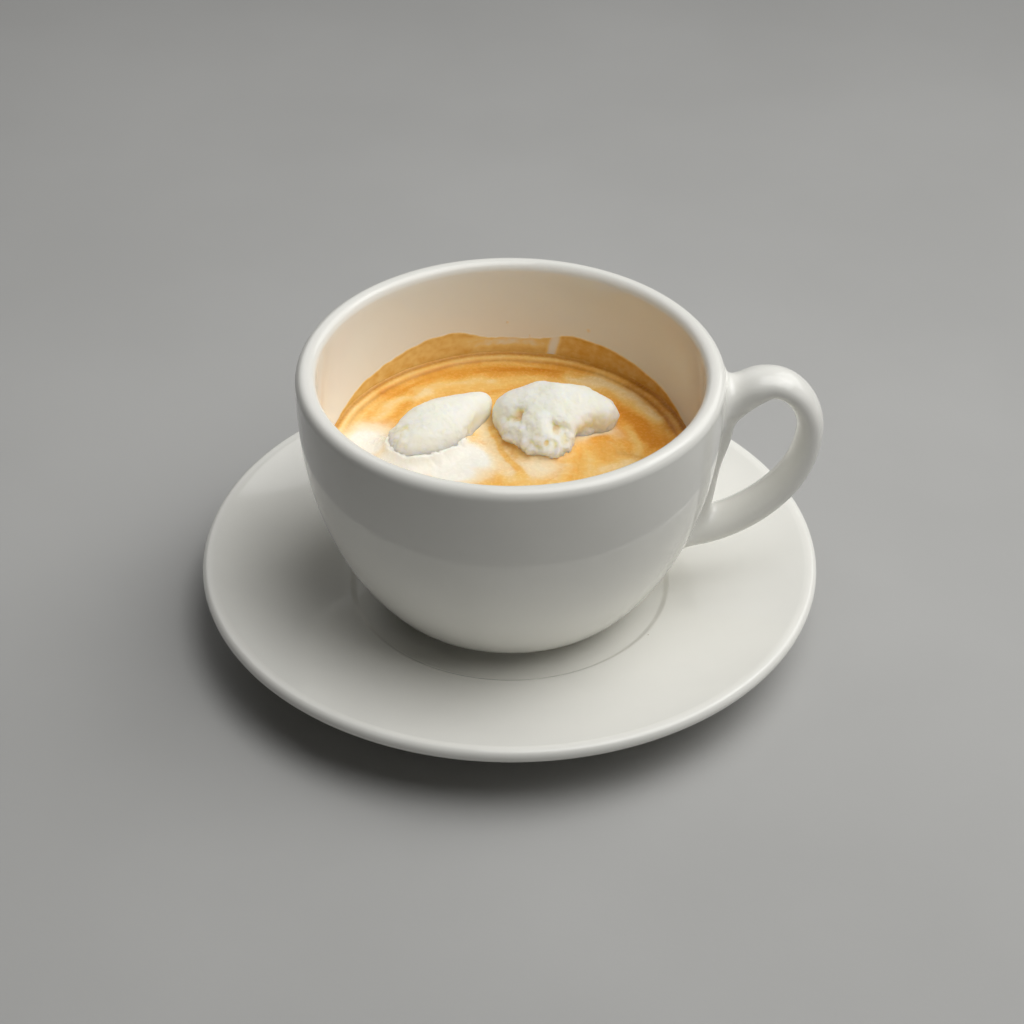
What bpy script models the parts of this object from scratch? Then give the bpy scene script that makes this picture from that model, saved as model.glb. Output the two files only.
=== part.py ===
"""Affogato: two lumps of vanilla ice cream in coffee, in a porcelain cup on its saucer.

Blender 4.5, metres, +Z up. The origin is on the table, under the middle of the saucer.
+X points along the cup's handle, and -Y is the side that a drinker faces.
"""

import math

import bmesh
import bpy
from mathutils import Vector, noise

MM = 0.001
GAP = 0.3 * MM              # between a piece and the one that it rests on or in
TURNED_STEPS = 52           # sides of the cup and the saucer

# Saucer: a thin round plate with a sunken well for the cup
SAUCER_RADIUS = 74.6 * MM
SAUCER_HEIGHT = 16.4 * MM
SAUCER_WALL = 3.9 * MM
SAUCER_EDGE = 1.7 * MM      # radius of the rounded edge
WELL_RADIUS = 38.5 * MM
WELL_LEVEL = 6.5 * MM
WELL_STEP = 0.9 * MM
SAUCER_FOOT_OUTER = 42.0 * MM
SAUCER_FOOT_INNER = 38.6 * MM
SAUCER_RISE = 1.6           # exponent of the curve from the well out to the edge

# Cup: a deep round bowl on a low foot, with a thick rolled lip
CUP_RADIUS = 50.0 * MM
CUP_BASE = WELL_LEVEL + GAP
CUP_RIM = WELL_LEVEL + 63.0 * MM
LIP_RADIUS = 2.4 * MM       # half the lip's thickness
BOWL_FOOT_RADIUS = 26.7 * MM
BOWL_BOTTOM = WELL_LEVEL - 1.2 * MM
BOWL_SIDE = (1.25, 2.41)    # superellipse exponents of the outer wall, across and down
BOWL_TURN = WELL_LEVEL + 4.2 * MM   # below here an arc carries the wall in under the bowl
BOWL_TURN_RADIUS = 8.0 * MM
BOWL_TURN_ANGLES = (-45, -82)
FOOT_OUTER = 27.6 * MM
FOOT_INNER = 23.0 * MM
FOOT_RECESS = 3.2 * MM
INNER_FLOOR = WELL_LEVEL + 8.0 * MM
INNER_SIDE = (4.0, 2.4)     # superellipse exponents of the inner wall

# Handle: an ear of oval strap, thick at both roots, with a web down the wall between them
STRAP_HALF_WIDTH = 5.2 * MM
STRAP_HALF_THICKNESS = 3.15 * MM
ROOT_SWELL = 0.22           # how much the strap grows at its roots
LOWER_SWELL = 0.12          # and over its lower half
WEB_HALF_WIDTH = 3.9 * MM
WEB_HALF_THICKNESS = 3.0 * MM

# Coffee: fills the cup to this level, with a foam ring and a meniscus at the wall
COFFEE_LEVEL = WELL_LEVEL + 37.3 * MM
COFFEE_STEPS = 44
FOAM_RING_RADIUS = 39.6 * MM
FOAM_RING_HEIGHT = 0.5 * MM
FOAM_RING_WIDTH = 1.3 * MM
MENISCUS_HEIGHT = 1.0 * MM
MENISCUS_WIDTH = 1.2 * MM

PORCELAIN = (0.86, 0.85, 0.81)
CREMA = (0.78, 0.46, 0.20)
ICE_CREAM = (0.95, 0.92, 0.83)


def clear_scene():
    for obj in list(bpy.data.objects):
        bpy.data.objects.remove(obj)


def material(name, colour, roughness):
    made = bpy.data.materials.new(name)
    made.use_nodes = True
    shader = made.node_tree.nodes["Principled BSDF"]
    shader.inputs["Base Color"].default_value = (*colour, 1.0)
    shader.inputs["Roughness"].default_value = roughness
    shader.inputs["Metallic"].default_value = 0.0
    return made


def new_collection(name):
    made = bpy.data.collections.new(name)
    bpy.context.scene.collection.children.link(made)
    return made


def link(mesh_or_curve, name, collection, finish=None):
    obj = bpy.data.objects.new(name, mesh_or_curve)
    collection.objects.link(obj)
    if finish:
        obj.data.materials.append(finish)
    return obj


def helper(obj):
    """Keeps a cutter or a guide out of renders and of the part."""
    obj.hide_render = True
    obj.display_type = "WIRE"
    return obj


def arc(centre, radius, start, end, count):
    """Points of a circle in the radius-height plane, from one angle to another in degrees."""
    points = []
    for i in range(count + 1):
        turn = math.radians(start + (end - start) * i / count)
        points.append((centre[0] + radius * math.cos(turn), centre[1] + radius * math.sin(turn)))
    return points


def turned(name, profile, steps, collection, finish):
    """A solid of revolution: the profile of (radius, height) points, spun by a Screw modifier."""
    mesh = bpy.data.meshes.new(name)
    points = [(r, 0.0, z) for r, z in profile]
    mesh.from_pydata(points, [(i, i + 1) for i in range(len(points) - 1)], [])
    obj = link(mesh, name, collection, finish)
    screw = obj.modifiers.new("spin", "SCREW")
    screw.steps = screw.render_steps = steps
    screw.use_merge_vertices = True
    screw.merge_threshold = 0.00001
    screw.use_smooth_shade = True
    return obj


def evaluated_mesh(obj, name):
    """The object's finished shape as a mesh of its own, with its seams welded."""
    bpy.context.view_layer.update()
    graph = bpy.context.evaluated_depsgraph_get()
    mesh = bpy.data.meshes.new_from_object(obj.evaluated_get(graph))
    mesh.name = name
    work = bmesh.new()
    work.from_mesh(mesh)
    bmesh.ops.remove_doubles(work, verts=work.verts, dist=0.00001)
    bmesh.ops.recalc_face_normals(work, faces=work.faces)
    work.to_mesh(mesh)
    work.free()
    return mesh


def boolean(obj, operation, other=None, collection=None, solver="EXACT"):
    made = obj.modifiers.new(operation.lower(), "BOOLEAN")
    made.operation = operation
    made.solver = solver
    if collection:
        made.operand_type = "COLLECTION"
        made.collection = collection
    else:
        made.object = other
    return made


# Saucer

def saucer_profile():
    """Runs from the axis out along the upper face, round the edge and back along the underside."""
    lip = WELL_STEP
    plate_level = WELL_LEVEL + lip
    edge_centre = (SAUCER_RADIUS - SAUCER_EDGE, SAUCER_HEIGHT - SAUCER_EDGE)
    start = WELL_RADIUS + lip
    span = SAUCER_RADIUS - 1.5 * SAUCER_EDGE - start
    rise = SAUCER_HEIGHT - 0.15 * MM - plate_level

    def upper(share):
        return start + span * share, plate_level + rise * share**SAUCER_RISE

    points = [(0.0, WELL_LEVEL), (WELL_RADIUS - lip, WELL_LEVEL)]
    points += [(WELL_RADIUS - 0.3 * lip, WELL_LEVEL + 0.2 * lip), (WELL_RADIUS + 0.3 * lip, plate_level - 0.2 * lip)]
    points += [upper(i / 8) for i in range(9)]
    points += arc(edge_centre, SAUCER_EDGE, 75, -75, 5)
    under = [(r, z - SAUCER_WALL) for r, z in (upper(i / 8) for i in range(7, 0, -2))]
    points += under
    points += [(SAUCER_FOOT_OUTER + 0.8 * MM, 2.6 * MM), (SAUCER_FOOT_OUTER, 0.4 * MM)]
    points += [(SAUCER_FOOT_OUTER - 0.5 * MM, 0.0), (SAUCER_FOOT_INNER + 0.5 * MM, 0.0)]
    points += [(SAUCER_FOOT_INNER, 0.4 * MM), (SAUCER_FOOT_INNER - 1.0 * MM, 2.4 * MM), (0.0, 2.4 * MM)]
    return points


# Cup

def superellipse(share, exponents):
    """Width left, from 1 to 0, at a share of the way down a superelliptic side."""
    across, down = exponents
    return max(0.0, 1.0 - share**down) ** (1.0 / across)


def outer_radius(height):
    lip_level = CUP_RIM - LIP_RADIUS
    share = max(0.0, (lip_level - height) / (lip_level - BOWL_BOTTOM))
    return BOWL_FOOT_RADIUS + (CUP_RADIUS - BOWL_FOOT_RADIUS) * superellipse(share, BOWL_SIDE)


def inner_radius(height):
    lip_level = CUP_RIM - LIP_RADIUS
    share = max(0.0, (lip_level - height) / (lip_level - INNER_FLOOR))
    return (CUP_RADIUS - 2 * LIP_RADIUS) * superellipse(share, INNER_SIDE)


def spread(low, high, count):
    """Heights from high to low, closer together towards the low end, where the bowl turns in."""
    return [high - (high - low) * math.sin(0.5 * math.pi * i / count) for i in range(count + 1)]


def cup_profile():
    """Runs from the axis up the inner wall, over the lip, down the outer wall and under the foot."""
    lip_level = CUP_RIM - LIP_RADIUS
    inner = [(inner_radius(z), z) for z in spread(INNER_FLOOR, lip_level, 11)]
    outer = [(outer_radius(z), z) for z in spread(BOWL_TURN, lip_level, 11)]
    points = [(0.0, INNER_FLOOR)] + inner[:-1][::-1]
    points += arc((CUP_RADIUS - LIP_RADIUS, lip_level), LIP_RADIUS, 180, 0, 8)[1:-1]
    points += outer
    start, end = BOWL_TURN_ANGLES
    turn = math.radians(start)
    inward = (outer[-1][0] - BOWL_TURN_RADIUS * math.cos(turn), BOWL_TURN - BOWL_TURN_RADIUS * math.sin(turn))
    points += arc(inward, BOWL_TURN_RADIUS, start, end, 4)[1:]
    points += [(FOOT_OUTER, CUP_BASE + 0.4 * MM), (FOOT_OUTER - 0.5 * MM, CUP_BASE), (FOOT_INNER + 0.4 * MM, CUP_BASE)]
    points += [(FOOT_INNER, CUP_BASE + 0.4 * MM), (FOOT_INNER - 1.2 * MM, CUP_BASE + FOOT_RECESS)]
    points += [(0.0, CUP_BASE + FOOT_RECESS)]
    return points


def handle_knots():
    """Middle of the strap in the XZ plane, from the upper root to the lower: place and heading."""
    places = [(47.6, 52.4), (60.2, 59.3), (70.5, 46.6), (58.4, 23.6), (39.6, 17.0)]
    headings = [(0.84, 0.54), (1.0, 0.0), (0.0, -1.0), (-0.79, -0.61), (-1.0, 0.0)]
    return above_well(places, headings)


def web_knots():
    """Middle of the web, from inside the strap's upper bend down the wall to the lower root."""
    places = [(57.4, 57.2), (49.6, 46.5), (47.4, 37.0), (44.6, 21.5)]
    headings = [(-0.75, -0.66), (-0.12, -0.99), (-0.22, -0.98), (-0.3, -0.95)]
    return above_well(places, headings)


def above_well(places, headings):
    """Knots from places in millimetres from the axis and above the saucer's well."""
    return [(Vector(p) * MM + Vector((0.0, WELL_LEVEL)), Vector(h)) for p, h in zip(places, headings)]


def through(knots, per_span):
    """A smooth curve through the knots, cubic between each two, that follows their headings."""
    points = []
    for (a, to_a), (b, to_b) in zip(knots, knots[1:]):
        pull = (b - a).length * 1.1
        for i in range(per_span):
            t = i / per_span
            points.append(
                a * (2 * t**3 - 3 * t**2 + 1)
                + b * (3 * t**2 - 2 * t**3)
                + to_a * pull * (t**3 - 2 * t**2 + t)
                + to_b * pull * (t**3 - t**2)
            )
    points.append(knots[-1][0])
    return points


def oval(name, half_width, half_thickness, sides, collection):
    """The cross-section of a strap, as a closed flat curve."""
    curve = bpy.data.curves.new(name, "CURVE")
    curve.dimensions = "2D"
    curve.fill_mode = "NONE"
    line = curve.splines.new("POLY")
    line.points.add(sides - 1)
    for i, point in enumerate(line.points):
        turn = 2 * math.pi * i / sides
        point.co = (half_width * math.cos(turn), half_thickness * math.sin(turn), 0.0, 1.0)
    line.use_cyclic_u = True
    return helper(link(curve, name, collection))


def strap(name, path, swell, section, collection):
    """An oval strap along a path in the XZ plane, made a mesh so that it can be joined to the cup."""
    curve = bpy.data.curves.new(name, "CURVE")
    curve.dimensions = "3D"
    curve.twist_mode = "MINIMUM"
    curve.bevel_mode = "OBJECT"
    curve.bevel_object = section
    curve.use_fill_caps = True
    line = curve.splines.new("POLY")
    line.points.add(len(path) - 1)
    for point, place, size in zip(line.points, path, swell):
        point.co = (place.x, 0.0, place.y, 1.0)
        point.radius = size
    guide = link(curve, name + "_guide", collection)
    mesh = evaluated_mesh(guide, name)
    bpy.data.objects.remove(guide)
    return helper(link(mesh, name, collection))


def strap_swell(count):
    """The strap's size at each point of its path, as a share of its plain size."""
    shares = [i / (count - 1) for i in range(count)]
    lower = [min(1.0, max(0.0, (share - 0.5) / 0.25)) for share in shares]
    return [1 + ROOT_SWELL * abs(2 * share - 1) ** 6 + LOWER_SWELL * low for share, low in zip(shares, lower)]


def add_handle(cup):
    guides = new_collection("handle sections")
    joined = new_collection("handle pieces")
    section = oval("strap_section", STRAP_HALF_WIDTH, STRAP_HALF_THICKNESS, 18, guides)
    path = through(handle_knots(), 7)
    strap("strap", path, strap_swell(len(path)), section, joined)

    web_section = oval("web_section", WEB_HALF_WIDTH, WEB_HALF_THICKNESS, 12, guides)
    web_path = through(web_knots(), 4)
    strap("web", web_path, [1.0] * len(web_path), web_section, joined)
    boolean(cup, "UNION", collection=joined)


# Ice cream

# Each lump: middle at the coffee's level, half sizes along its own axes, turn, and lobes as
# (direction, height as a share of the radius, width).
LEFT_LUMP = {
    "middle": (-17.3, 7.7),
    "half": (14.4, 9.2, 8.7, 11.0),
    "turn": 44.0,
    "lobes": [
        ((0.99, 0.09, 0.14), 0.31, 0.30),
        ((0.88, -0.47, 0.10), -0.36, 0.34),
        ((0.50, -0.86, 0.14), -0.33, 0.36),
        ((0.55, 0.83, -0.05), 0.22, 0.50),
        ((-0.93, -0.34, 0.17), 0.07, 0.45),
    ],
    "rough": 0.035,
    "seed": 3.1,
}
RIGHT_LUMP = {
    "middle": (10.2, 14.2),
    "half": (13.4, 12.3, 9.1, 11.5),
    "turn": -8.0,
    "lobes": [
        ((0.96, 0.08, 0.26), 0.25, 0.34),
        ((0.90, -0.40, 0.14), -0.22, 0.28),
        ((0.72, -0.69, 0.10), -0.31, 0.26),
        ((0.37, -0.92, 0.14), 0.15, 0.28),
        ((-0.09, -0.99, 0.14), 0.27, 0.34),
        ((-0.63, -0.75, 0.21), 0.11, 0.40),
        ((-0.97, 0.00, 0.26), 0.13, 0.42),
        ((0.13, 0.75, 0.64), -0.07, 0.42),
        ((0.71, 0.41, 0.57), 0.05, 0.40),
        ((0.45, 0.88, -0.10), 0.10, 0.50),
        ((-0.69, -0.54, 0.48), -0.11, 0.20),
        ((-0.22, -0.76, 0.61), 0.08, 0.20),
        ((0.22, -0.84, 0.50), -0.10, 0.18),
        ((-0.40, 0.12, 0.91), -0.06, 0.25),
        ((0.02, 0.41, 0.91), 0.05, 0.30),
    ],
    "rough": 0.06,
    "seed": 8.4,
}
LUMP_COLUMNS = 38
LUMP_ROWS = 20


def lump_reach(direction, lump):
    """Distance from the middle to the surface, as an ellipsoid with lobes and crags."""
    across, deep, up, down = (half * MM for half in lump["half"])
    tall = up if direction.z > 0 else down
    reach = 1 / math.sqrt((direction.x / across) ** 2 + (direction.y / deep) ** 2 + (direction.z / tall) ** 2)
    for toward, height, width in lump["lobes"]:
        away = (direction - Vector(toward).normalized()).length
        reach *= 1 + height * math.exp(-((away / width) ** 2))
    if direction.z > -0.3:
        crag = noise.fractal(direction * 3.2 + Vector((lump["seed"], 0.0, 0.0)), 0.9, 2.1, 3)
        reach *= 1 + lump["rough"] * crag * min(1.0, (direction.z + 0.3) / 0.4)
    return reach


def lump_mesh(name, lump, grow):
    """A sphere whose points are pushed out to the lump's surface, and by grow beyond it."""
    work = bmesh.new()
    bmesh.ops.create_uvsphere(work, u_segments=LUMP_COLUMNS, v_segments=LUMP_ROWS, radius=1.0)
    turn = math.radians(lump["turn"])
    x, y = (place * MM for place in lump["middle"])
    for vertex in work.verts:
        direction = vertex.co.normalized()
        point = direction * (lump_reach(direction, lump) + grow)
        vertex.co = (
            x + point.x * math.cos(turn) - point.y * math.sin(turn),
            y + point.x * math.sin(turn) + point.y * math.cos(turn),
            COFFEE_LEVEL + point.z,
        )
    bmesh.ops.recalc_face_normals(work, faces=work.faces)
    mesh = bpy.data.meshes.new(name)
    work.to_mesh(mesh)
    work.free()
    for face in mesh.polygons:
        face.use_smooth = True
    return mesh


# Coffee

def coffee_top(radius, wall):
    """Height of the coffee at a radius: level, with a low ring of foam and a meniscus at the wall."""
    ring = FOAM_RING_HEIGHT * math.exp(-(((radius - FOAM_RING_RADIUS) / FOAM_RING_WIDTH) ** 2))
    climb = MENISCUS_HEIGHT * math.exp((radius - wall) / MENISCUS_WIDTH)
    return COFFEE_LEVEL + ring + climb


def coffee_profile():
    """Runs from the axis out over the surface, down along the cup's wall and in over its floor."""
    wall = inner_radius(COFFEE_LEVEL) - GAP
    radii = [FOAM_RING_RADIUS * share for share in (0.0, 0.45, 0.9)]
    radii += [FOAM_RING_RADIUS + (wall - FOAM_RING_RADIUS) * i / 6 for i in range(7)]
    points = [(r, coffee_top(r, wall)) for r in radii]
    floor = INNER_FLOOR + GAP
    sides = spread(floor, COFFEE_LEVEL, 7)[1:]
    points += [(max(0.0, inner_radius(z - GAP) - 1.5 * GAP), z) for z in sides[:-1]]
    points += [(0.0, floor)]
    return points


def main():
    clear_scene()
    parts = new_collection("affogato")
    cutters = new_collection("cutters")
    porcelain = material("porcelain", PORCELAIN, 0.12)
    crema = material("crema", CREMA, 0.25)
    cream = material("ice_cream", ICE_CREAM, 0.45)

    turned("saucer", saucer_profile(), TURNED_STEPS, parts, porcelain)
    cup = turned("cup", cup_profile(), TURNED_STEPS, parts, porcelain)
    add_handle(cup)

    coffee = turned("coffee", coffee_profile(), COFFEE_STEPS, parts, crema)
    right = link(lump_mesh("ice_cream_right", RIGHT_LUMP, 0.0), "ice_cream_right", parts, cream)
    left = link(lump_mesh("ice_cream_left", LEFT_LUMP, 0.0), "ice_cream_left", parts, cream)
    for name, lump in (("right", RIGHT_LUMP), ("left", LEFT_LUMP)):
        pocket = helper(link(lump_mesh("pocket_" + name, lump, GAP), "pocket_" + name, cutters))
        boolean(coffee, "DIFFERENCE", other=pocket, solver="MANIFOLD")
        if name == "right":
            boolean(left, "DIFFERENCE", other=pocket, solver="MANIFOLD")


main()
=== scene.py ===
import math

import bpy
import numpy as np
from mathutils import Matrix


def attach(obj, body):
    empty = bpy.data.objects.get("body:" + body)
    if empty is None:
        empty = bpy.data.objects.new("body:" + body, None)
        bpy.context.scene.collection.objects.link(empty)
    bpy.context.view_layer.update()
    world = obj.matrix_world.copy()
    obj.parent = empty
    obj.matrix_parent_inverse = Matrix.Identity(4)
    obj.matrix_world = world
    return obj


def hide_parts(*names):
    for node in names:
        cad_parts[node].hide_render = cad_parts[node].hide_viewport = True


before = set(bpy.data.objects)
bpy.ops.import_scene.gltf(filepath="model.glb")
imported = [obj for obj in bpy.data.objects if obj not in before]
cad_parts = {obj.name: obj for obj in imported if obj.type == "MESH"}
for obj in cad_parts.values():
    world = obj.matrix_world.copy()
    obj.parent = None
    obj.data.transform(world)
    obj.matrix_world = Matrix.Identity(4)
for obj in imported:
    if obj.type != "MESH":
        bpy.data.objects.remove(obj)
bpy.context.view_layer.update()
MM = 0.001


# The view and the table. The camera looks down on the cup from the drinker's side, a little past it, and
# the table under the saucer is a broad plain sheet of pale warm grey board.
AIM = (0.0005, 0.0, 0.02737)
CAMERA_DISTANCE = 0.62738
CAMERA_DOWN = 36.82
CAMERA_ROLL = 0.36
TABLE_HALF = 4.0
TABLE_DROP = 0.05 * MM
BOARD = (0.44, 0.438, 0.43, 1)
BOARD_PALE = (0.47, 0.468, 0.46, 1)

optics = bpy.data.cameras.new("camera")
optics.lens = 91.41
optics.sensor_width = 36.0
optics.clip_start = 0.01
camera = bpy.data.objects.new("camera", optics)
camera.matrix_world = (
    Matrix.Translation(AIM)
    @ Matrix.Rotation(math.radians(90 - CAMERA_DOWN), 4, "X")
    @ Matrix.Rotation(math.radians(CAMERA_ROLL), 4, "Z")
    @ Matrix.Translation((0.0, 0.0, CAMERA_DISTANCE))
)
bpy.context.scene.collection.objects.link(camera)
bpy.context.scene.camera = camera
bpy.context.scene.view_settings.view_transform = "Standard"


def new_material(name):
    """A material with its node tree and its Principled shader."""
    made = bpy.data.materials.new(name)
    made.use_nodes = True
    return made, made.node_tree, made.node_tree.nodes["Principled BSDF"]


def add(tree, kind, inputs=None, **settings):
    """One shader node with its settings. An input is linked to another node's socket, or holds a value."""
    made = tree.nodes.new("ShaderNode" + kind)
    for name, value in settings.items():
        setattr(made, name, value)
    for name, value in (inputs or {}).items():
        if isinstance(value, bpy.types.NodeSocket):
            tree.links.new(value, made.inputs[name])
        else:
            made.inputs[name].default_value = value
    return made


def mixed(tree, share, first, second):
    """The socket of a colour mix, from the first colour at share 0 to the second at share 1."""
    node = add(tree, "Mix", {0: share, 6: first, 7: second}, data_type="RGBA")
    return node.outputs[2]


def ranged(tree, value, low, high, to_low=0.0, to_high=1.0):
    """The socket of a smooth step of the value between two limits."""
    spec = {"Value": value, "From Min": low, "From Max": high, "To Min": to_low, "To Max": to_high}
    return add(tree, "MapRange", spec, interpolation_type="SMOOTHSTEP").outputs["Result"]


def table_material():
    made, tree, shader = new_material("table_board")
    place = add(tree, "TexCoord").outputs["Object"]
    cloud = add(tree, "TexNoise", {"Vector": place, "Scale": 9.0, "Detail": 5.0}).outputs["Fac"]
    grain = add(tree, "TexNoise", {"Vector": place, "Scale": 900.0, "Detail": 3.0}).outputs["Fac"]
    colour = mixed(tree, ranged(tree, cloud, 0.3, 0.7), BOARD, BOARD_PALE)
    tree.links.new(colour, shader.inputs["Base Color"])
    shader.inputs["Roughness"].default_value = 0.65
    bump = add(tree, "Bump", {"Height": grain, "Distance": 0.00005, "Strength": 0.4})
    tree.links.new(bump.outputs["Normal"], shader.inputs["Normal"])
    return made


sheet = bpy.data.meshes.new("table_sheet")
corners = [(x * TABLE_HALF, y * TABLE_HALF, -TABLE_DROP) for x, y in ((-1, -1), (1, -1), (1, 1), (-1, 1))]
sheet.from_pydata(corners, [], [(0, 1, 2, 3)])
sheet.materials.append(table_material())
table = bpy.data.objects.new("table", sheet)
bpy.context.scene.collection.objects.link(table)


# The light: one large softbox high on the right, near enough to wrap round the cup, a smaller one lower to
# the back right and a weak one behind. Honeycomb grids keep them off the room, which is dim.
GRID_SPREAD = 90.0
ROOM = (0.015, 0.015, 0.015, 1.0)
DAYLIGHT = (1.0, 1.0, 0.985)


def softbox(name, azimuth, height, distance, size, power, colour):
    """A square soft light that looks at the cup from an azimuth round it and an angle above the table."""
    lamp = bpy.data.lights.new(name, "AREA")
    lamp.shape = "SQUARE"
    lamp.size = size
    lamp.energy = power
    lamp.color = colour
    lamp.spread = math.radians(GRID_SPREAD)
    light = bpy.data.objects.new(name, lamp)
    light.matrix_world = (
        Matrix.Translation((0.0, 0.0, 0.03))
        @ Matrix.Rotation(math.radians(azimuth + 90), 4, "Z")
        @ Matrix.Rotation(math.radians(90 - height), 4, "X")
        @ Matrix.Translation((0.0, 0.0, distance))
    )
    bpy.context.scene.collection.objects.link(light)


softbox("key", azimuth=-4.0, height=67.0, distance=0.80, size=0.85, power=2.08, colour=DAYLIGHT)
softbox("side", azimuth=36.0, height=38.0, distance=0.80, size=0.60, power=0.50, colour=DAYLIGHT)
softbox("back", azimuth=120.0, height=38.0, distance=0.80, size=0.60, power=0.20, colour=(1.0, 1.0, 1.0))
room = bpy.data.worlds.new("room")
room.use_nodes = True
room.node_tree.nodes["Background"].inputs["Color"].default_value = ROOM
bpy.context.scene.world = room


# The saucer: a thin plate of white porcelain, jigger-turned, with a sunken well for the cup and a foot
# ring underneath. It is glazed all over but for the foot ring, which stood on the kiln shelf.
WELL_LEVEL = 6.5
WELL_RADIUS = 37.5
WELL_STEP = 0.9
PLATE_START = (39.4, 7.4)
PLATE_RUN = 32.65
PLATE_RISE = 8.85
PLATE_WALL = 3.9
EDGE_RADIUS = 1.7
SAUCER_UNDERSIDE = 2.4
SAUCER_COLUMNS = 300
PORCELAIN = (0.93, 0.92, 0.872, 1.0)


def arc(centre, radius, start, end, count):
    """Points of a circle in the radius-height plane, from one angle to another in degrees."""
    turn = np.radians(np.linspace(start, end, count))
    return np.stack([centre[0] + radius * np.cos(turn), centre[1] + radius * np.sin(turn)], axis=1)


def run(first, last, count):
    """Evenly spaced points of a straight line in the radius-height plane, without the last."""
    return np.linspace(first, last, count, endpoint=False)


def saucer_profile():
    """The well's floor, a smooth step, the plate's rise as a power of the way out, the rolled edge, the
    underside a wall lower, and the foot ring. In millimetres, from the axis round to the axis."""
    step = np.linspace(0.0, 1.0, 13)
    climb = WELL_STEP * (3 * step**2 - 2 * step**3)
    width = PLATE_START[0] - WELL_RADIUS
    rim_of_well = np.stack([WELL_RADIUS + width * step, WELL_LEVEL + climb], axis=1)
    share = np.linspace(0.0, 1.0, 48)
    out, up = PLATE_START[0] + PLATE_RUN * share, PLATE_START[1] + PLATE_RISE * share**1.6
    rise = np.stack([out, up], axis=1)
    under = np.stack([out, up - PLATE_WALL], axis=1)[44:7:-1]
    return np.vstack([
        run((0.0, WELL_LEVEL), (WELL_RADIUS, WELL_LEVEL), 24), rim_of_well, rise[1:],
        arc((72.9, 14.7), EDGE_RADIUS, 75, -75, 16), under,
        arc((43.6, 2.2), 1.0, 150, 200, 5), arc((41.5, 0.5), 0.5, 0, -90, 6),
        arc((39.1, 0.5), 0.5, -90, -180, 6), run((38.4, 1.6), (37.6, SAUCER_UNDERSIDE), 3),
        run((37.6, SAUCER_UNDERSIDE), (0.0, SAUCER_UNDERSIDE), 12), [(0.0, SAUCER_UNDERSIDE)],
    ])


def mesh_object(name, points, loops, starts, fields):
    """A smooth-shaded object from numpy arrays: points in metres, the corners of all faces in a row, and
    where each face's corners start. fields holds a number a point, kept as attributes."""
    mesh = bpy.data.meshes.new(name)
    mesh.vertices.add(len(points))
    mesh.vertices.foreach_set("co", points.astype(np.float32).ravel())
    mesh.loops.add(len(loops))
    mesh.loops.foreach_set("vertex_index", loops.astype(np.int32))
    mesh.polygons.add(len(starts))
    mesh.polygons.foreach_set("loop_start", starts.astype(np.int32))
    mesh.update(calc_edges=True)
    mesh.validate()
    mesh.shade_smooth()
    for field, values in (fields or {}).items():
        kept = mesh.attributes.new(field, "FLOAT", "POINT")
        kept.data.foreach_set("value", values.astype(np.float32).ravel())
    made = bpy.data.objects.new(name, mesh)
    bpy.context.scene.collection.objects.link(made)
    return made


def wrapped(name, grid, fields=None):
    """A closed skin over a grid of points, rows by columns: the columns run round and meet, and the first
    and last row each shrink to one point. The faces turn outwards by the sign of the skin's volume."""
    rows, columns = grid.shape[:2]

    def flat(values):
        return np.concatenate([values[0, :1], values[1:-1].reshape(-1, *values.shape[2:]), values[-1, :1]])

    points = flat(grid)
    ring = 1 + np.arange((rows - 2) * columns).reshape(rows - 2, columns)
    after = np.roll(ring, -1, axis=1)
    last = np.full(columns, len(points) - 1)
    quads = np.stack([ring[:-1], after[:-1], after[1:], ring[1:]], axis=-1).reshape(-1, 4)
    fans = np.concatenate([
        np.stack([np.zeros(columns, int), after[0], ring[0]], axis=-1),
        np.stack([last, ring[-1], after[-1]], axis=-1),
    ])
    halves = np.concatenate([fans, quads[:, :3], quads[:, [0, 2, 3]]])
    a, b, c = points[halves[:, 0]], points[halves[:, 1]], points[halves[:, 2]]
    if (a * np.cross(b, c)).sum() < 0:
        quads = quads[:, ::-1]
        fans = fans[:, ::-1]
    loops = np.concatenate([quads.ravel(), fans.ravel()])
    starts = np.concatenate([4 * np.arange(len(quads)), quads.size + 3 * np.arange(len(fans))])
    kept = {field: flat(values) for field, values in (fields or {}).items()}
    return mesh_object(name, points * MM, loops, starts, kept)


def turned(name, profile, columns):
    """A skin of revolution: the profile of radius and height, carried round the axis."""
    turn = np.linspace(0, 2 * np.pi, columns, endpoint=False)
    radius, height = profile[:, :1], profile[:, 1:]
    grid = np.stack([radius * np.cos(turn), radius * np.sin(turn), height + 0 * turn], axis=-1)
    return wrapped(name, grid)


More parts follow.
